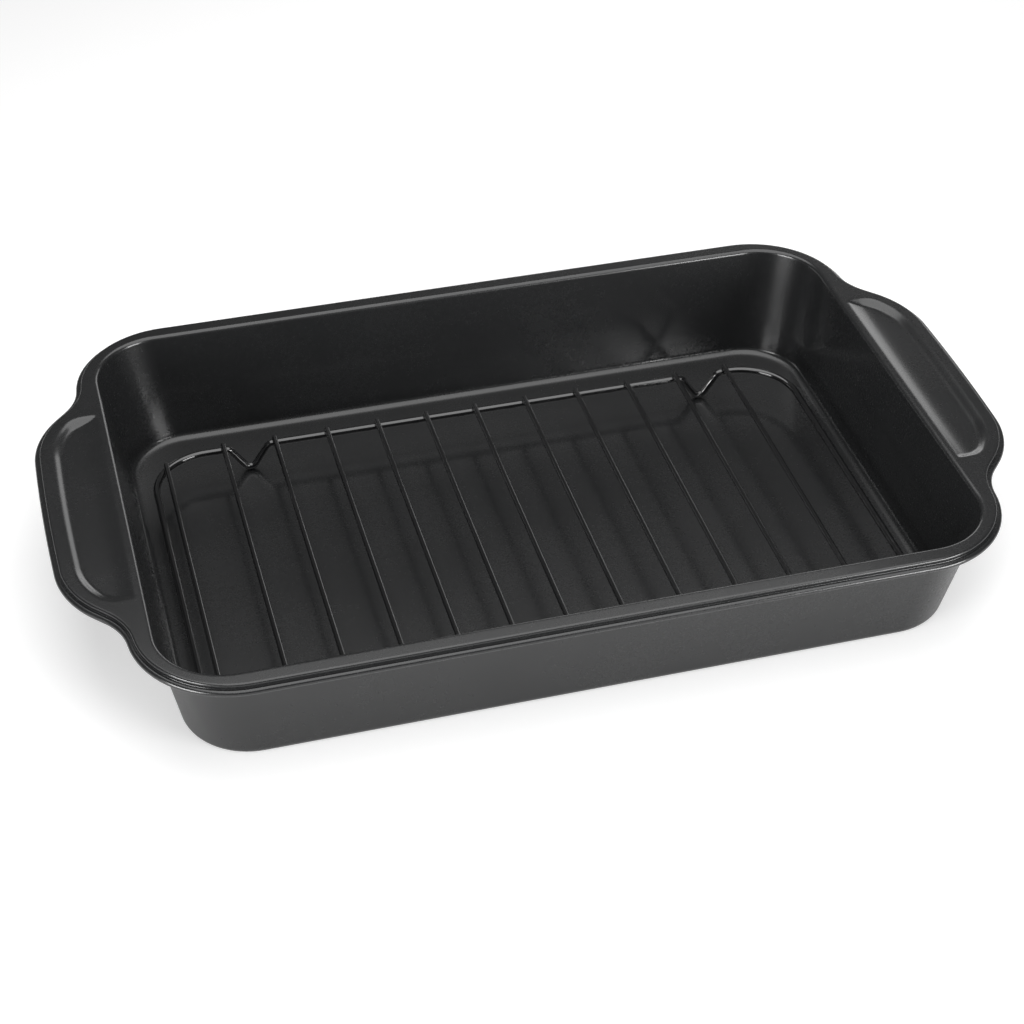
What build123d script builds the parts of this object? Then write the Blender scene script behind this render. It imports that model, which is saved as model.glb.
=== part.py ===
from build123d import *
from math import asin, atan2, cos, hypot, pi, radians, sin, sqrt, tan
import os

# Roasting pan with a loose wire rack, in millimetres.
# +X runs along the long side, from handle to handle, and +Y towards the rear. +Z is up.
# The origin is on the table, under the middle of the pan's flat base.

# The tub, drawn from one sheet
sheet = 0.8
pan_height = 58
opening_radius = 33.5
wall_draft = 9.5
base_radius = 5
lip_radius = 2.1

# The rim's outer edge, with a wing at each end for a handle
overall_length = 450
overall_width = 278.4
flange_width = 9.2
wing_reach = 35
corner_reach = 4.5
corner_growth = 13.8
neck_reach = 9.4
neck_radius = 29
wing_width = 120.6
wing_slant = 25.7
wing_radius = 50
end_bow = 2

# The rim's profile: a shoulder drops from the flange to a hem rolled under it
step_inset = 2.6
shoulder_radius = 1
hem_radius = 1.45
hem_drop = 2.1
hem_slot = 0.9

# The recess pressed into the top of each wing
recess_margin = 8.8
recess_depth = 2.5
recess_slope = 3.8
recess_end_radius = 8
crease_gap = 2
scoop_length = 13.5
recess_end_share = 0.48

# The rack's ring, with its four feet bent from the long rails
ring_wire = 3.5
ring_end_gap = 13.4
ring_side_gap = 24.3
ring_radius = 28
ring_shift = -3.1
ring_forward = 11.5
foot_drop = 12.1
foot_bend = 3.6
foot_gap = 2.9
seat_gap = 0.3

# The rack's cross wires, welded on top of the ring
cross_wire = 2.6
cross_overhang = 1.2
cross_round = 0.7
weld_sink = 0.2
first_wire_inset = 7.4
last_wire_gap = 1.7
wire_shares = (0, 0.101, 0.189, 0.280, 0.368, 0.454, 0.541, 0.631, 0.724, 0.817, 0.907, 1)

# Room to spare where one form cuts another, and the share of an edge that its rounds take up
overrun = 5
round_share = 0.99

os.makedirs("parts", exist_ok=True)

# The opening lies inside the flange and the wings
opening_length = overall_length - 2 * wing_reach
opening_width = overall_width - 2 * flange_width
neck_width = wing_width + 2 * wing_slant

# The tub's walls lean out, so the lip's round meets them inside the opening's edge
lean = radians(wall_draft)
lip_setback = lip_radius * tan((pi / 2 - lean) / 2)
wall_length = opening_length - 2 * lip_setback
wall_width = opening_width - 2 * lip_setback
wall_radius = opening_radius - lip_setback


def tub_form(skin, floor, floor_radius):
    """The tub as a solid: its walls moved out by skin, from the floor up to the flange's top."""
    shift = skin / cos(lean)
    with BuildPart() as form:
        for level in (floor, pan_height):
            spread = 2 * shift - 2 * (pan_height - level) * tan(lean)
            with BuildSketch(Plane.XY.offset(level)):
                RectangleRounded(wall_length + spread, wall_width + spread, wall_radius + shift)
        loft(ruled=True)
        fillet(form.edges().group_by(Axis.Z)[0], floor_radius)
    return form.part


def inset(corners, margin):
    """An outline whose corners run clockwise, drawn in by margin on every side."""
    moved = []
    for place, corner in enumerate(corners):
        entering = (corner - corners[place - 1]).normalized()
        leaving = (corners[(place + 1) % len(corners)] - corner).normalized()
        along = (entering + leaving).normalized()
        moved.append(corner + along.rotate(Axis.Z, -90) * (margin / along.dot(entering)))
    return moved


def both_ends(side):
    """One end's corners, then the other end's, half a turn about the middle."""
    return side + [Vector(-corner.X, -corner.Y) for corner in side]


def half_turn(before, corner, after):
    """Half the angle through which an outline turns at a corner."""
    return radians((corner - before).get_angle(after - corner)) / 2


# Half of a wing's outline, from the rear corner to the middle of its end, seen from that middle
wing_corners = [
    Vector(corner_reach - wing_reach, overall_width / 2),
    Vector(neck_reach - wing_reach, neck_width / 2),
    Vector(-end_bow, wing_width / 2),
    Vector(0, 0),
]
corner_half_turn = half_turn(Vector(-overall_length / 2, overall_width / 2), *wing_corners[:2])
neck_half_turn = half_turn(*wing_corners[:3])
wing_half_turn = half_turn(*wing_corners[1:])
end_half_turn = half_turn(*wing_corners[2:], Vector(-end_bow, -wing_width / 2))

# A corner's round follows the opening's, as far as the neck's leaves it an edge
corner_edge = (wing_corners[1] - wing_corners[0]).length - neck_radius * tan(neck_half_turn)
corner_limit = round_share * corner_edge / tan(corner_half_turn)
corner_radius = min(opening_radius + corner_growth, corner_limit)

# The bow of a wing's end takes up what the wing's corners leave of its edge
end_edge = (wing_corners[3] - wing_corners[2]).length - wing_radius * tan(wing_half_turn)
end_radius = round_share * end_edge / tan(end_half_turn)

# The rim's outline, clockwise from the rear corner of the right-hand end; its round is the end's reach
end_peak = end_radius * (1 / cos(end_half_turn) - 1)
rear_corners = [corner + Vector(overall_length / 2 + end_peak, 0) for corner in wing_corners]
front_corners = [Vector(corner.X, -corner.Y) for corner in rear_corners[2::-1]]
rim_corners = both_ends(rear_corners + front_corners)


def rounded_line(corners, radii):
    """A closed outline in the plane of the sketch or the line being drawn."""
    return FilletPolyline(*[(corner.X, corner.Y) for corner in corners], radius=radii, close=True)


def rim_line(margin):
    """The rim's outline drawn in by margin; its necks are hollow, so their rounds grow."""
    end_radii = [corner_radius - margin, neck_radius + margin, wing_radius - margin]
    radii = end_radii + [end_radius - margin] + end_radii[::-1]
    return rounded_line(inset(rim_corners, margin), 2 * radii)


hem_height = pan_height - hem_drop - hem_radius


def flange_form(skin, top):
    """The flange and its stepped edge as a solid, drawn in by skin, from the hem's middle to top."""
    with BuildPart() as form:
        with BuildSketch(Plane.XY.offset(hem_height)):
            with BuildLine():
                rim_line(step_inset + skin)
            make_face()
        extrude(amount=top - hem_height)
        if not skin:
            fillet(form.edges().group_by(Axis.Z)[-1], shoulder_radius)
    return form.part


def around_opening(form, level):
    """The edges of a form at a level that run round the opening, inside the flange."""
    reach = Vector(opening_length / 2, opening_width / 2)
    found = form.edges().filter_by(lambda edge: abs(edge.center().Z - level) < sheet / 4)
    found = found.filter_by(lambda edge: abs(edge.center().X) < reach.X)
    return found.filter_by(lambda edge: abs(edge.center().Y) < reach.Y)


# A recess follows its wing, and ends square to the crease beside the opening
recess_floor = pan_height - recess_depth
slope_angle = atan2(recess_depth, recess_slope)
scoop_radius = (scoop_length**2 + recess_depth**2) / (2 * recess_depth)
crease = opening_length / 2 + crease_gap
inner_rim = inset(rim_corners, recess_margin)
wing_line = inner_rim[1] - inner_rim[2]
recess_end = inner_rim[2] + wing_line * recess_end_share
recess_rear = [Vector(crease - overrun, recess_end.Y), recess_end, inner_rim[2]]
recess_front = [Vector(corner.X, -corner.Y) for corner in reversed(recess_rear)]
recess_corners = recess_rear + [inner_rim[3]] + recess_front
recess_edge = (recess_end - inner_rim[2]).length - recess_end_radius * tan(half_turn(*recess_rear))
recess_wing_radius = round_share * recess_edge / tan(wing_half_turn)


def recess_form(skin, top):
    """A wing's hollow up to top, or with a skin, the underside of the sheet that forms it."""
    with BuildPart() as form:
        for level in (recess_floor - skin, top):
            drawn_in = recess_slope * (pan_height - level) / recess_depth - skin / sin(slope_angle)
            end_radii = [0, recess_end_radius - drawn_in, recess_wing_radius - drawn_in]
            radii = end_radii + [end_radius - recess_margin - drawn_in] + end_radii[::-1]
            with BuildSketch(Plane.XY.offset(level)):
                with BuildLine():
                    rounded_line(inset(recess_corners, drawn_in), radii)
                make_face()
        loft(ruled=True)
        with BuildSketch(Plane.XZ):
            with Locations((crease + scoop_length, recess_floor + scoop_radius)):
                Circle(scoop_radius + skin)
            with Locations((crease + scoop_length, recess_floor - skin)):
                Rectangle(overall_length / 2, scoop_radius, align=(Align.MIN, Align.MIN))
        extrude(amount=recess_end.Y + overrun, both=True, mode=Mode.INTERSECT)
    return form.part


# The pan: one sheet from base to hem
pan_recess = recess_form(0, pan_height + overrun)
pan_recess_skin = recess_form(sheet, pan_height - sheet / 2)
with BuildPart() as pan:
    add(flange_form(0, pan_height))
    add(flange_form(sheet, pan_height - sheet), mode=Mode.SUBTRACT)
    add(tub_form(sheet, 0, base_radius))
    fillet(around_opening(pan, pan_height - sheet), lip_radius - sheet)
    add([pan_recess_skin, mirror(pan_recess_skin, about=Plane.YZ, mode=Mode.PRIVATE)])
    add([pan_recess, mirror(pan_recess, about=Plane.YZ, mode=Mode.PRIVATE)], mode=Mode.SUBTRACT)
    add(tub_form(0, sheet, base_radius - sheet), mode=Mode.SUBTRACT)
    fillet(around_opening(pan, pan_height), lip_radius)
    with BuildLine(Plane.XY.offset(hem_height)) as hem_path:
        rim_line(hem_radius)
    hem_along = hem_path.line % 0
    with BuildSketch(Plane(hem_path.line @ 0, x_dir=hem_along.rotate(Axis.Z, 90), z_dir=hem_along)):
        Circle(hem_radius)
        Circle(hem_radius - sheet, mode=Mode.SUBTRACT)
        with Locations((-hem_radius, -hem_slot)):
            Rectangle(2 * sheet, hem_slot, mode=Mode.SUBTRACT)
    sweep(path=hem_path.line)
pan.part.label = "pan"
export_step(pan.part, "parts/pan.step")

# The rack stands on the tub's floor, clear of the leaning walls
ring_height = sheet + seat_gap + foot_drop + ring_wire / 2
wall_approach = 2 * (pan_height - ring_height) * tan(lean) + ring_wire
ring_length = wall_length - wall_approach - 2 * ring_end_gap
ring_width = wall_width - wall_approach - 2 * ring_side_gap

# The cross wires' places, from inside the ring's left corners to just short of its right ones
first_wire = ring_shift - ring_length / 2 + first_wire_inset
last_wire = ring_shift + ring_length / 2 - ring_radius - last_wire_gap
wire_places = [first_wire + share * (last_wire - first_wire) for share in wire_shares]

# A foot is a V between two cross wires, and its slope is what leaves the bends their radius
foot_places = [(wire_places[1] + wire_places[2]) / 2, (wire_places[-2] + wire_places[-1]) / 2]
foot_reach = (wire_places[2] - wire_places[1]) / 2 - foot_gap
bend_drop = foot_drop - foot_bend
foot_lean = atan2(bend_drop, foot_reach) + asin(foot_bend / hypot(bend_drop, foot_reach))
foot_apex = foot_reach * tan(foot_lean)


def long_rail(depth, way):
    """A long rail's corners at depth, from left to right or, with way -1, from right to left."""
    corners = [(ring_shift - way * ring_length / 2, depth, ring_height)]
    for foot in foot_places[::way]:
        corners.append((foot - way * foot_reach, depth, ring_height))
        corners.append((foot, depth, ring_height - foot_apex))
        corners.append((foot + way * foot_reach, depth, ring_height))
    return corners + [(ring_shift + way * ring_length / 2, depth, ring_height)]


# The ring: one wire, bent down into a foot at four places
with BuildPart() as rack_ring:
    with BuildLine() as ring_path:
        rail_radii = [ring_radius] + 6 * [foot_bend] + [ring_radius]
        rear_rail = long_rail(ring_width / 2 - ring_forward, 1)
        rails = rear_rail + long_rail(-ring_width / 2 - ring_forward, -1)
        FilletPolyline(*rails, radius=2 * rail_radii, close=True)
    with BuildSketch(Plane(ring_path.line @ 0, z_dir=ring_path.line % 0)):
        Circle(ring_wire / 2)
    sweep(path=ring_path.line)
rack_ring.part.label = "rack_ring"
export_step(rack_ring.part, "parts/rack_ring.step")

# The cross wires, each pressed a little into the ring where it is welded at both ends
wire_height = ring_height + ring_wire / 2 + cross_wire / 2 - weld_sink


def ring_depth(place):
    """How far the ring lies from the middle at a place along it, in the rails or the corners."""
    into_corner = max(abs(place - ring_shift) - (ring_length / 2 - ring_radius), 0)
    return ring_width / 2 - ring_radius + sqrt(ring_radius**2 - into_corner**2)


for number, place in enumerate(wire_places, start=1):
    wire_reach = ring_depth(place) + cross_overhang
    with BuildPart() as wire:
        with BuildSketch(Plane.XZ.offset(ring_forward)):
            with Locations((place, wire_height)):
                Circle(cross_wire / 2)
        extrude(amount=wire_reach, both=True)
        fillet(wire.edges().group_by(Axis.Y)[0] + wire.edges().group_by(Axis.Y)[-1], cross_round)
    wire.part.label = f"cross_wire_{number:02d}"
    export_step(wire.part, f"parts/cross_wire_{number:02d}.step")
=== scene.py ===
from math import acos, atan2, cos, hypot, pi, radians, sin, tan

import bmesh
import bpy
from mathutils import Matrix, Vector


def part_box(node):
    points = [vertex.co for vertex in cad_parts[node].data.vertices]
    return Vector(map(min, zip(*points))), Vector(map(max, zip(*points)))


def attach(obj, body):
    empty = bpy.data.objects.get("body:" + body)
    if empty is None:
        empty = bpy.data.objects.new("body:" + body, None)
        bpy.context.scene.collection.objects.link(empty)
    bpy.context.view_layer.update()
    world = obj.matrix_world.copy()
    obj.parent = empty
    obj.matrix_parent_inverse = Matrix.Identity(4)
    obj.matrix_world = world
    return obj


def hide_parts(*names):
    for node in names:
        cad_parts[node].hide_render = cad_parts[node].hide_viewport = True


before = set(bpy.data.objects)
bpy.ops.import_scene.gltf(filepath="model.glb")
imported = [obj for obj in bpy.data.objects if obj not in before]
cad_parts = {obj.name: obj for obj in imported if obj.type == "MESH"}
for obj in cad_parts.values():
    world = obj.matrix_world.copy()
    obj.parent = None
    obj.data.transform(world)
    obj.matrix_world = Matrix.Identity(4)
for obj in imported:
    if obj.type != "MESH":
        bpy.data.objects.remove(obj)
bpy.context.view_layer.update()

bl_info = {
    "name": "Roasting Pan with Rack",
    "version": (1, 0, 0),
    "blender": (4, 5, 0),
    "location": "3D View > Sidebar > Roaster",
    "description": "A coated steel roasting pan with its enamelled wire rack, in a studio",
    "category": "Add Mesh",
}

PAN_LOW, PAN_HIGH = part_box("pan")
RACK_NODES = ["rack_ring"] + sorted(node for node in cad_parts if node.startswith("cross_wire"))
MM = 0.001


# What a user may change


def length(name, description, default):
    """A size, in metres."""
    return bpy.props.FloatProperty(
        name=name, description=description, default=default, precision=4, subtype="DISTANCE", unit="LENGTH"
    )


def angle(name, description, default):
    """An angle, given here in degrees."""
    return bpy.props.FloatProperty(
        name=name, description=description, default=radians(default), subtype="ANGLE", unit="ROTATION"
    )


def number(name, description, default, highest=1):
    """A plain number from 0."""
    return bpy.props.FloatProperty(name=name, description=description, default=default, min=0, max=highest)


def colour(name, description, default):
    """A colour, in linear light."""
    return bpy.props.FloatVectorProperty(
        name=name, description=description, default=default, size=3, min=0, max=1, subtype="COLOR"
    )


class RoasterPan(bpy.types.PropertyGroup):
    """The pan's sheet, tub, rim and recesses."""

    sheet: length("Sheet", "Thickness of the coated steel sheet", 0.8 * MM)
    wing_reach: length("Handle reach", "From the opening to the end of a handle", 35 * MM)
    flange: length("Flange", "Width of the rim along a long side", 9.2 * MM)
    opening_round: length("Opening round", "Radius of the opening's corners", 33.5 * MM)
    draft: angle("Draft", "How far the tub's walls lean out", 9.5)
    base_round: length("Base round", "Outer radius between the walls and the base", 5 * MM)
    lip_round: length("Lip round", "Radius between the walls and the flange", 2.1 * MM)
    corner_reach: length("Corner reach", "From the opening to the rim's corner, along the pan", 4.5 * MM)
    corner_round: length("Corner round", "Radius of the rim's corners", 47.3 * MM)
    neck_reach: length("Neck reach", "From the opening to where a handle begins, along the pan", 9.4 * MM)
    neck_round: length("Neck round", "Hollow radius where a handle begins", 29 * MM)
    neck_width: length("Neck width", "Width of a handle where it begins", 172 * MM)
    wing_width: length("Handle width", "Width of a handle's end", 120.6 * MM)
    wing_round: length("Handle round", "Radius of a handle's corners", 50 * MM)
    end_bow: length("End bow", "How far a handle's end bows out", 2 * MM)
    shoulder_round: length("Shoulder round", "Radius between the flange and its step", 1 * MM)
    step_inset: length("Step inset", "From the rim's outline to the step under the flange", 2.6 * MM)
    groove_round: length("Groove round", "Radius of the groove between the step and the hem", 0.35 * MM)
    hem_round: length("Hem round", "Radius of the rolled hem", 1.45 * MM)
    hem_drop: length("Hem drop", "From the flange down to the top of the hem", 2.1 * MM)
    hem_turn: angle("Hem turn", "How far the hem is rolled past its outermost line", 118)
    recess_margin: length("Recess margin", "From the rim's outline to a handle's recess", 8.8 * MM)
    recess_width: length("Recess width", "From end to end of a handle's recess", 138 * MM)
    recess_depth: length("Recess depth", "Depth of a handle's recess", 2.5 * MM)
    recess_slope: length("Recess slope", "Width of the recess's sloping sides", 3.8 * MM)
    recess_corner: length("Recess corner", "How far the recess's corners are rounded", 4 * MM)
    crease: length("Crease", "From the opening to the recess's crease", 2 * MM)
    scoop: length("Scoop", "How far the recess's floor rises towards the crease", 13.5 * MM)
    press_round: length("Press round", "Half the width of the soft edges that the press leaves", 1.1 * MM)


class RoasterFinish(bpy.types.PropertyGroup):
    """The pan's coating and the rack's enamel."""

    coating: colour("Coating", "Colour of the pan's non-stick coating", (0.0125, 0.0129, 0.0134))
    coating_roughness: number("Coating roughness", "How dull the coating is under its glaze", 0.27)
    glaze: number("Glaze", "How much glossy binder lies over the coating", 0.6)
    glaze_roughness: number("Glaze roughness", "How dull that binder is", 0.15)
    coating_grain: length("Coating grain", "Size of the coating's sprayed grain", 0.4 * MM)
    coating_specks: length("Coating specks", "Size of the specks of binder", 2.2 * MM)
    coating_clouds: length("Coating clouds", "Size of the faint clouds in the coating", 60 * MM)
    enamel: colour("Enamel", "Colour of the rack's enamel", (0.005, 0.005, 0.0054))
    enamel_roughness: number("Enamel roughness", "How dull the enamel is", 0.12)
    enamel_gloss: number("Enamel gloss", "How dull the enamel's outermost skin is", 0.05)
    enamel_ripple: length("Enamel ripple", "Size of the enamel's slow ripples", 6 * MM)
    enamel_pores: length("Enamel pores", "Size of the enamel's fine pores", 0.7 * MM)


class RoasterStudio(bpy.types.PropertyGroup):
    """The camera, the light and the floor."""

    azimuth: angle("Azimuth", "Turn of the camera about the pan", -15.14)
    elevation: angle("Elevation", "Height of the camera, as an angle", 38.33)
    distance: length("Distance", "From the camera to the point that it looks at", 1004.9 * MM)
    target: bpy.props.FloatVectorProperty(
        name="Target", description="The point that the camera looks at", size=3, subtype="XYZ", unit="LENGTH",
        default=(-19.7 * MM, -54.8 * MM, 58 * MM),
    )
    lens: number("Lens", "Focal length on a 36 mm sensor", 78.18, 200)
    surround: number("Surround", "Strength of the light from all round", 0.1, 4)
    paper: colour("Paper", "Colour of the floor", (0.76, 0.76, 0.76))
    paper_glow: number("Paper glow", "How much whiter the floor looks to the camera than it is lit", 0.42, 4)


# Materials: how strongly light bends in the coating's binder, and in enamel, which is a glass

BINDER_IOR = 1.5
ENAMEL_IOR = 1.6


class Signal:
    """A node's output. Sums and products of signals add the nodes that work them out."""

    def __init__(self, board, socket):
        self.board = board
        self.socket = socket

    def calculate(self, operation, *values):
        return self.board.add("ShaderNodeMath", {"operation": operation}, dict(enumerate(values)))

    def __add__(self, other):
        return self.calculate("ADD", self, other)

    def __radd__(self, other):
        return self.calculate("ADD", other, self)

    def __sub__(self, other):
        return self.calculate("SUBTRACT", self, other)

    def __rsub__(self, other):
        return self.calculate("SUBTRACT", other, self)

    def __mul__(self, other):
        return self.calculate("MULTIPLY", self, other)

    def __rmul__(self, other):
        return self.calculate("MULTIPLY", other, self)

    def between(self, low, high):
        """0 below low, 1 above high, and a smooth rise between them."""
        inputs = {"Value": self, "From Min": low, "From Max": high}
        return self.board.add("ShaderNodeMapRange", {"interpolation_type": "SMOOTHSTEP"}, inputs)

    def about_zero(self, spread):
        """A small change of spread in all, which is 0 where this is a half."""
        return self * spread - spread / 2

    def mix(self, low, high):
        """The colour low where this is 0, and high where it is 1."""
        inputs = {"Factor": self, "A": low, "B": high}
        return self.board.add("ShaderNodeMix", {"data_type": "RGBA"}, inputs, "Result")


class Board:
    """The nodes of one material or of the world."""

    def __init__(self, owner):
        owner.use_nodes = True
        self.tree = owner.node_tree
        self.tree.nodes.clear()

    def add(self, kind, settings=None, inputs=None, output=0):
        """A node: its settings first, then the values or links of its sockets."""
        node = self.tree.nodes.new(kind)
        for name, value in (settings or {}).items():
            setattr(node, name, value)
        for name, value in (inputs or {}).items():
            socket = self.find(node.inputs, name)
            if isinstance(value, Signal):
                self.tree.links.new(value.socket, socket)
            else:
                socket.default_value = value
        return Signal(self, self.find(node.outputs, output)) if len(node.outputs) else None

    def find(self, sockets, name):
        """A socket by its place, or by its name among those in use."""
        if isinstance(name, int):
            return sockets[name]
        return next(socket for socket in sockets if socket.name == name and socket.enabled)

    def noise(self, place, size, detail=2, roughness=0.5):
        """Soft noise about 0.5 whose features have a size in metres."""
        inputs = {"Vector": place, "Scale": 1 / size, "Detail": detail, "Roughness": roughness}
        return self.add("ShaderNodeTexNoise", None, inputs)


def tinted(tint, factor):
    """A colour made paler or darker, with its alpha."""
    return (*(part * factor for part in tint), 1)


def non_stick_coating():
    """Dark grey satin coating: fine sprayed grain, specks of binder, and faint clouds in its gloss."""
    finish = bpy.context.scene.roaster_finish
    material = bpy.data.materials.new("non_stick_coating")
    board = Board(material)
    place = board.add("ShaderNodeTexCoord", output="Object")
    clouds = board.noise(place, finish.coating_clouds, detail=3)
    specks = board.noise(place, finish.coating_specks, detail=4, roughness=0.6)
    spray = board.noise(place, finish.coating_grain)
    shade = (clouds * 0.5 + specks * 0.5).between(0.3, 0.7)
    orange_peel = {"Strength": 0.03, "Distance": 0.03 * MM, "Height": spray}
    shader = board.add("ShaderNodeBsdfPrincipled", None, {
        "Base Color": shade.mix(tinted(finish.coating, 0.86), tinted(finish.coating, 1.16)),
        "Roughness": finish.coating_roughness + clouds.about_zero(0.05) + specks.about_zero(0.04),
        "IOR": BINDER_IOR,
        "Coat Weight": finish.glaze + clouds.about_zero(0.2),
        "Coat Roughness": finish.glaze_roughness,
        "Normal": board.add("ShaderNodeBump", None, orange_peel),
    })
    board.add("ShaderNodeOutputMaterial", None, {"Surface": shader})
    return material


def rack_enamel():
    """Glossy black enamel that ran a little on the wire before it was fired."""
    finish = bpy.context.scene.roaster_finish
    material = bpy.data.materials.new("rack_enamel")
    board = Board(material)
    place = board.add("ShaderNodeTexCoord", output="Object")
    runs = board.noise(place, finish.enamel_ripple)
    pores = board.noise(place, finish.enamel_pores, detail=3)
    ripple = board.add("ShaderNodeBump", None, {"Strength": 0.3, "Distance": 0.25 * MM, "Height": runs})
    skin = {"Strength": 0.1, "Distance": 0.03 * MM, "Height": pores, "Normal": ripple}
    shader = board.add("ShaderNodeBsdfPrincipled", None, {
        "Base Color": pores.mix(tinted(finish.enamel, 0.8), tinted(finish.enamel, 1.3)),
        "Roughness": finish.enamel_roughness + runs.about_zero(0.06),
        "IOR": ENAMEL_IOR,
        "Coat Weight": 1,
        "Coat Roughness": finish.enamel_gloss,
        "Normal": board.add("ShaderNodeBump", None, skin),
    })
    board.add("ShaderNodeOutputMaterial", None, {"Surface": shader})
    return material


def dress(piece, material):
    """Give a piece one material all over."""
    piece.data.materials.clear()
    piece.data.materials.append(material)


# Outlines of a quarter of the pan, clockwise from the middle of its rear side to the middle of its right end

# Steps along the rim
SIDE_STEPS = 8
CORNER_STEPS = 18
NECK_STEPS = 16
SLANT_STEPS = 8
WING_STEPS = 26
BOW_STEPS = 20

# Steps across the hem, its groove, the shoulder, the flange, the recess, the lip's strip and the tub
HEM_STEPS = 22
GROOVE_STEPS = 4
SHOULDER_STEPS = 5
FLANGE_STEPS = 18
RECESS_STEPS = 12
STRIP_STEPS = 4
LIP_STEPS = 7
BASE_STEPS = 10

# Where the lines run down the wall, and in across the floor; they lie closer beside a round
WALL_SHARES = (0.01, 0.03, 0.2, 0.5, 0.8, 0.97, 0.99, 1)
FLOOR_SHARES = (0.992, 0.96, 0.85, 0.6, 0.3)

# The rounds beside the end's bow take up this share of its edge
BOW_SHARE = 0.99

# The rim's lines turn towards the crease within this share of the flange, and the turn is rounded
TURN_SHARE = 0.45
TURN_ROUND = 3 * MM

# The recess's lines lie closer towards the crease, by this power
CROWDING = 1.2


def soft_rise(value, width):
    """The larger of value and 0, with the bend between them spread over width on each side."""
    if abs(value) >= width:
        return max(value, 0)
    return (value + width) ** 2 / (4 * width)


def soft_least(first, second, width):
    """The lesser of two values, with the bend between them rounded over width."""
    near = max(width - abs(first - second), 0) / width
    return min(first, second) - near * near * width / 4


def evenly(low, high, steps):
    """Numbers from low to high in equal steps, both ends included."""
    return [low + (high - low) * step / steps for step in range(steps + 1)]


def round_corner(before, corner, after, radius, steps):
    """Points and outward normals round a clockwise outline's corner; a radius below 0 is hollow."""
    entering = (corner - before).normalized()
    leaving = (after - corner).normalized()
    turn = entering.angle(leaving)
    side = 1 if radius > 0 else -1
    out = Vector((-entering.y, entering.x)) * side
    centre = corner - entering * abs(radius) * tan(turn / 2) - out * abs(radius)
    start = atan2(out.y, out.x)
    points = []
    for bend in evenly(start, start - side * turn, steps):
        ray = Vector((cos(bend), sin(bend)))
        points.append((centre + ray * abs(radius), ray * side))
    return points


def rim_quarter(pan):
    """The rim's outline and normals in three runs: the long side, the corner, and the neck and handle."""
    half_length, half_width = PAN_HIGH.x, PAN_HIGH.y
    wing_half = pan.wing_width / 2
    bow_turn = atan2(pan.end_bow, wing_half)
    slant_turn = atan2(pan.wing_reach - pan.neck_reach - pan.end_bow, pan.neck_width / 2 - wing_half)
    straight = hypot(pan.end_bow, wing_half) - pan.wing_round * tan((slant_turn - bow_turn) / 2)
    bow_round = BOW_SHARE * straight / tan(bow_turn)
    tip = half_length + bow_round * (1 / cos(bow_turn) - 1)
    corners = [
        Vector((0, half_width)),
        Vector((tip - pan.wing_reach + pan.corner_reach, half_width)),
        Vector((tip - pan.wing_reach + pan.neck_reach, pan.neck_width / 2)),
        Vector((tip - pan.end_bow, wing_half)),
        Vector((tip, 0)),
        Vector((tip - pan.end_bow, -wing_half)),
    ]
    corner = round_corner(*corners[0:3], pan.corner_round, CORNER_STEPS)
    neck = round_corner(*corners[1:4], -pan.neck_round, NECK_STEPS)
    wing = round_corner(*corners[2:5], pan.wing_round, WING_STEPS)
    bow = round_corner(*corners[3:6], bow_round, 2 * BOW_STEPS)
    side = [(Vector((x, half_width)), Vector((0, 1))) for x in evenly(0, corner[0][0].x, SIDE_STEPS)[:-1]]
    slant = []
    for share in evenly(0, 1, SLANT_STEPS)[1:-1]:
        slant.append((neck[-1][0].lerp(wing[0][0], share), wing[0][1]))
    return side, corner, neck[1:] + slant + wing + bow[1:BOW_STEPS + 1]


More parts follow.
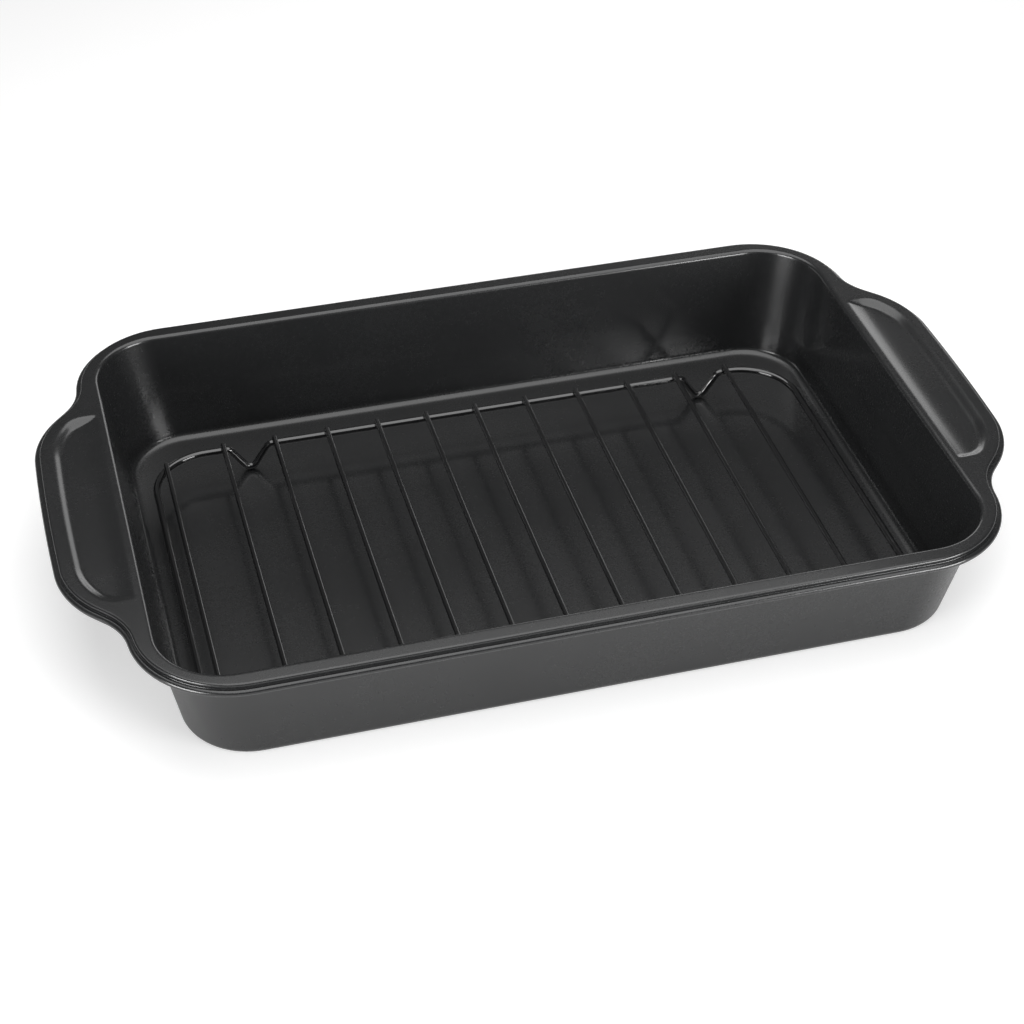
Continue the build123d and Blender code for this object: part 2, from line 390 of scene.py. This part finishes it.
class Quarter:
    """A quarter of the pan: the rim's points, each with the tub's point that faces it across the flange."""

    def __init__(self, pan):
        self.pan = pan
        self.half_length = PAN_HIGH.x - pan.wing_reach
        self.half_width = PAN_HIGH.y - pan.flange
        side, corner, wing = rim_quarter(pan)
        self.rim = side + corner + wing
        self.shares = [(Vector((at.x / corner[0][0].x, 1)), Vector((0, 1))) for at, out in side]
        for bend in evenly(pi / 2, 0, len(corner) - 1):
            self.shares.append((Vector((1, 1)), Vector((cos(bend), sin(bend)))))
        crease = self.tub_line(pan.crease, 0)
        self.turns = []
        for (at, out), facing in zip(side + corner, crease):
            self.turns.append(self.turn((at - facing.to_2d()).length))
        straight = self.half_width - pan.opening_round
        for at, out in wing:
            margin = self.turn((at.x - self.half_length - pan.crease) / out.x)
            self.turns.append(margin)
            self.shares.append((Vector((1, (at.y - out.y * margin) / straight)), Vector((1, 0))))

    def turn(self, gap):
        """How far in from the rim its offset lines turn straight towards the crease, which is a gap away."""
        pan = self.pan
        edge = pan.step_inset + pan.shoulder_round
        recess_foot = pan.recess_margin + pan.recess_slope + 2 * pan.press_round
        return soft_least(recess_foot, edge + (gap - edge) * TURN_SHARE, TURN_ROUND)

    def rim_line(self, margin, height):
        """The rim's outline drawn in by margin, at a height."""
        return [(at - out * margin).to_3d() + Vector((0, 0, height)) for at, out in self.rim]

    def tub_line(self, growth, height, round_change=None):
        """The opening's outline grown outwards, at a height; its corners grow as much, or by round_change."""
        corner = self.pan.opening_round + (growth if round_change is None else round_change)
        reach = Vector((self.half_length + growth - corner, self.half_width + growth - corner))
        points = [shares * reach + out * corner for shares, out in self.shares]
        return [Vector((at.x, at.y, height)) for at in points]

    def dent(self, at, margin):
        """How deep the recess is at a point that lies margin in from the rim's outline."""
        pan = self.pan
        inside = soft_least(margin - pan.recess_margin, pan.recess_width / 2 - at.y, pan.recess_corner)
        rise = soft_rise(inside, pan.press_round) - soft_rise(inside - pan.recess_slope, pan.press_round)
        ramp = rise * pan.recess_depth / pan.recess_slope
        scoop_round = (pan.scoop**2 + pan.recess_depth**2) / (2 * pan.recess_depth)
        along = soft_rise(at.x - self.half_length - pan.crease, pan.press_round)
        left = max(pan.scoop - along, 0)
        bowl = pan.recess_depth - scoop_round + (scoop_round**2 - left**2) ** 0.5
        return max(soft_least(ramp, bowl, pan.recess_depth / 4), 0)

    def flange_lines(self):
        """The flange's lines: offsets of the rim, lines across the recess, and the strip beside the lip."""
        pan, top = self.pan, PAN_HIGH.z
        edge = pan.step_inset + pan.shoulder_round
        crease = self.tub_line(pan.crease, top)
        lip = self.tub_line(0, top)
        lines = []
        for share in evenly(0, 1, FLANGE_STEPS):
            line = []
            for (at, out), last in zip(self.rim, self.turns):
                margin = edge + (last - edge) * share
                point = at - out * margin
                line.append(Vector((point.x, point.y, top - self.dent(point, margin))))
            lines.append(line)
        turning = lines[-1]
        for step in range(1, RECESS_STEPS + 1):
            share = 1 - (1 - step / RECESS_STEPS) ** CROWDING
            line = []
            for start, end, margin in zip(turning, crease, self.turns):
                point = start.to_2d().lerp(end.to_2d(), share)
                depth = self.dent(point, margin + (point - start.to_2d()).length)
                line.append(Vector((point.x, point.y, top - depth)))
            lines.append(line)
        for share in evenly(0, 1, STRIP_STEPS)[1:-1]:
            line = []
            for start, end in zip(crease, lip):
                point = start.to_2d().lerp(end.to_2d(), share)
                depth = self.dent(point, pan.wing_reach)
                line.append(Vector((point.x, point.y, top - depth)))
            lines.append(line)
        return lines

    def hem_lines(self):
        """The rolled hem from its cut edge, the groove over it, the step and the shoulder."""
        pan, top = self.pan, PAN_HIGH.z
        roll, groove, shoulder = pan.hem_round, pan.groove_round, pan.shoulder_round
        middle = top - pan.hem_drop - roll
        meeting = acos((roll - pan.step_inset + groove) / (roll + groove))
        profile = []
        for turn in evenly(-pan.hem_turn, meeting, HEM_STEPS):
            profile.append((roll - roll * cos(turn), middle + roll * sin(turn)))
        hollow_height = middle + (roll + groove) * sin(meeting)
        for turn in evenly(meeting - pi, 0, GROOVE_STEPS)[1:]:
            profile.append((pan.step_inset - groove * (1 - cos(turn)), hollow_height + groove * sin(turn)))
        profile.append((pan.step_inset, top - 1.1 * shoulder))
        for turn in evenly(0, pi / 2, SHOULDER_STEPS)[:-1]:
            profile.append((pan.step_inset + shoulder * (1 - cos(turn)), top - shoulder * (1 - sin(turn))))
        return [self.rim_line(margin, height) for margin, height in profile]

    def tub_lines(self):
        """The lip, the leaning wall, the round down to the floor, and the floor."""
        pan, top = self.pan, PAN_HIGH.z
        lines = []
        for turn in evenly(0, pi / 2 - pan.draft, LIP_STEPS):
            lines.append(self.tub_line(-pan.lip_round * sin(turn), top - pan.lip_round * (1 - cos(turn))))
        wall_top = top - pan.lip_round * (1 - sin(pan.draft))
        wall_inset = pan.lip_round * cos(pan.draft)
        inner_round = pan.base_round - pan.sheet
        base_middle = pan.sheet + inner_round
        wall_foot = base_middle - inner_round * sin(pan.draft)
        foot_inset = wall_inset + (wall_top - wall_foot) * tan(pan.draft)
        for share in WALL_SHARES:
            inset = wall_inset + (foot_inset - wall_inset) * share
            lines.append(self.tub_line(-inset, wall_top + (wall_foot - wall_top) * share, -wall_inset))
        for turn in evenly(pan.draft, pi / 2, BASE_STEPS)[1:]:
            inset = foot_inset + inner_round * (cos(pan.draft) - cos(turn))
            corner_loss = wall_inset + inset - foot_inset
            lines.append(self.tub_line(-inset, base_middle - inner_round * sin(turn), -corner_loss))
        for share in FLOOR_SHARES:
            lines.append([Vector((at.x * share, at.y * share, at.z)) for at in lines[-1]])
        return lines


def all_round(quarter):
    """A closed clockwise loop from the points of one quarter."""
    loop = list(quarter)
    loop += [Vector((at.x, -at.y, at.z)) for at in quarter[-2::-1]]
    loop += [Vector((-at.x, -at.y, at.z)) for at in quarter[1:]]
    loop += [Vector((-at.x, at.y, at.z)) for at in quarter[-2:0:-1]]
    return loop


# Edges that turn more than this stay sharp
SHARP_FROM = radians(40)


def drawn_sheet(name, loops):
    """A sheet as a press draws it: a circle set on the first loop, extruded loop by loop, and closed."""
    bpy.ops.object.select_all(action="DESELECT")
    bpy.ops.mesh.primitive_circle_add(vertices=len(loops[0]))
    piece = bpy.context.object
    piece.name = name
    for vertex, at in zip(piece.data.vertices, loops[0]):
        vertex.co = at
    station = piece.data.attributes.new("station", "INT", "POINT")
    station.data.foreach_set("value", range(len(loops[0])))
    bpy.ops.object.mode_set(mode="EDIT")
    bpy.ops.mesh.select_all(action="SELECT")
    for loop in loops[1:]:
        bpy.ops.mesh.extrude_edges_move()
        mesh = bmesh.from_edit_mesh(piece.data)
        number_of = mesh.verts.layers.int["station"]
        for vertex in mesh.verts:
            if vertex.select:
                vertex.co = loop[vertex[number_of]]
    bpy.ops.mesh.merge(type="CENTER")
    bpy.ops.mesh.select_all(action="SELECT")
    bpy.ops.mesh.normals_make_consistent(inside=False)
    bpy.ops.object.mode_set(mode="OBJECT")
    piece.data.attributes.remove(piece.data.attributes["station"])
    return piece


def apply_modifier(piece, kind, **settings):
    """Add a modifier with its settings, and apply it."""
    modifier = piece.modifiers.new(kind.title(), kind)
    for name, value in settings.items():
        setattr(modifier, name, value)
    bpy.context.view_layer.objects.active = piece
    bpy.ops.object.modifier_apply(modifier=modifier.name)


class ROASTER_OT_pan(bpy.types.Operator):
    """Draw the pan from one sheet, with its rolled hem and the recesses in its handles"""

    bl_idname = "roaster.pan"
    bl_label = "Roasting Pan"

    def execute(self, context):
        pan = context.scene.roaster_pan
        quarter = Quarter(pan)
        lines = quarter.hem_lines() + quarter.flange_lines() + quarter.tub_lines()
        piece = drawn_sheet("pan_sheet", [all_round(line) for line in lines])
        floor = max(piece.data.polygons, key=lambda face: -face.center.z)
        side = -1 if floor.normal.z > 0 else 1
        apply_modifier(piece, "SOLIDIFY", thickness=pan.sheet, offset=side, use_even_offset=True)
        bpy.ops.object.shade_smooth_by_angle(angle=SHARP_FROM)
        apply_modifier(piece, "WEIGHTED_NORMAL", keep_sharp=True)
        dress(piece, non_stick_coating())
        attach(piece, "pan")
        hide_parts("pan")
        return {"FINISHED"}


class ROASTER_OT_rack(bpy.types.Operator):
    """Enamel the rack's ring and cross wires"""

    bl_idname = "roaster.rack"
    bl_label = "Wire Rack"

    def execute(self, context):
        enamel = rack_enamel()
        for node in RACK_NODES:
            dress(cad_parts[node], enamel)
        return {"FINISHED"}


# Studio


def softbox(name, place, width, height, brightness, aim=(0, 0, 0)):
    """A rectangular lamp at a place, turned towards a point. White paper as bright has a brightness of 1."""
    lamp = bpy.data.lights.new(name, "AREA")
    lamp.shape = "RECTANGLE"
    lamp.size = width
    lamp.size_y = height
    lamp.energy = brightness * pi * width * height
    holder = bpy.data.objects.new(name, lamp)
    holder.location = place
    holder.rotation_euler = (Vector(aim) - Vector(place)).to_track_quat("-Z", "Y").to_euler()
    holder.visible_camera = False
    bpy.context.scene.collection.objects.link(holder)


def studio_paper():
    """White paper that keeps the pan's shadow, and looks whiter to the camera than the lamps make it."""
    studio = bpy.context.scene.roaster_studio
    material = bpy.data.materials.new("studio_paper")
    board = Board(material)
    place = board.add("ShaderNodeTexCoord", output="Object")
    fibre = board.noise(place, 3 * MM, 4)
    paper = board.add("ShaderNodeBsdfPrincipled", None, {
        "Base Color": fibre.mix(tinted(studio.paper, 0.99), tinted(studio.paper, 1.01)),
        "Roughness": 0.9,
    })
    seen = board.add("ShaderNodeLightPath", output="Is Camera Ray")
    glow = board.add("ShaderNodeEmission", None, {"Strength": seen * studio.paper_glow})
    both = board.add("ShaderNodeAddShader", None, {0: paper, 1: glow})
    board.add("ShaderNodeOutputMaterial", None, {"Surface": both})
    return material


def surround(studio):
    """White to the camera, and soft light from all round on the object."""
    world = bpy.data.worlds.new("surround")
    bpy.context.scene.world = world
    board = Board(world)
    seen = board.add("ShaderNodeLightPath", output="Is Camera Ray")
    strength = studio.surround + seen * (1 - studio.surround)
    sky = board.add("ShaderNodeBackground", None, {"Color": (1, 1, 1, 1), "Strength": strength})
    board.add("ShaderNodeOutputWorld", None, {"Surface": sky})


class ROASTER_OT_stage(bpy.types.Operator):
    """Set the camera, the lamps and the white floor"""

    bl_idname = "roaster.stage"
    bl_label = "Studio"

    def execute(self, context):
        studio = context.scene.roaster_studio
        bpy.ops.object.select_all(action="DESELECT")
        bpy.ops.mesh.primitive_plane_add(size=12)
        floor = context.object
        floor.name = "studio_floor"
        dress(floor, studio_paper())
        surround(studio)
        softbox("overhead", (0.03, -0.05, 0.75), 0.9, 1.3, brightness=2, aim=(0.03, -0.05, 0))
        softbox("rear_panel", (0.58, 1.01, 0.27), 0.9, 0.35, brightness=1.5)
        softbox("front_left_panel", (-1.0, -0.6, 0.26), 0.6, 0.45, brightness=12)
        softbox("front_right_panel", (0.69, -0.92, 0.26), 0.55, 0.45, brightness=12)

        target = Vector(studio.target)
        back = Vector((
            sin(studio.azimuth) * cos(studio.elevation),
            -cos(studio.azimuth) * cos(studio.elevation),
            sin(studio.elevation),
        ))
        camera = bpy.data.objects.new("camera", bpy.data.cameras.new("camera"))
        camera.data.lens = studio.lens
        camera.location = target + back * studio.distance
        camera.rotation_euler = (-back).to_track_quat("-Z", "Y").to_euler()
        context.scene.collection.objects.link(camera)
        context.scene.camera = camera
        context.scene.view_settings.view_transform = "Standard"
        return {"FINISHED"}


class ROASTER_PT_panel(bpy.types.Panel):
    """The roaster's steps and sizes"""

    bl_idname = "ROASTER_PT_panel"
    bl_label = "Roasting Pan"
    bl_space_type = "VIEW_3D"
    bl_region_type = "UI"
    bl_category = "Roaster"

    def draw(self, context):
        steps = {
            "roaster.pan": context.scene.roaster_pan,
            "roaster.rack": context.scene.roaster_finish,
            "roaster.stage": context.scene.roaster_studio,
        }
        for step, settings in steps.items():
            box = self.layout.box()
            box.operator(step)
            for name in settings.__annotations__:
                box.prop(settings, name)


CLASSES = (
    RoasterPan, RoasterFinish, RoasterStudio,
    ROASTER_OT_pan, ROASTER_OT_rack, ROASTER_OT_stage, ROASTER_PT_panel,
)


def register():
    for item in CLASSES:
        bpy.utils.register_class(item)
    bpy.types.Scene.roaster_pan = bpy.props.PointerProperty(type=RoasterPan)
    bpy.types.Scene.roaster_finish = bpy.props.PointerProperty(type=RoasterFinish)
    bpy.types.Scene.roaster_studio = bpy.props.PointerProperty(type=RoasterStudio)


def unregister():
    del bpy.types.Scene.roaster_studio
    del bpy.types.Scene.roaster_finish
    del bpy.types.Scene.roaster_pan
    for item in reversed(CLASSES):
        bpy.utils.unregister_class(item)


def main():
    """Make every piece and the studio."""
    register()
    bpy.ops.roaster.pan()
    bpy.ops.roaster.rack()
    bpy.ops.roaster.stage()


if __name__ == "__main__":
    main()
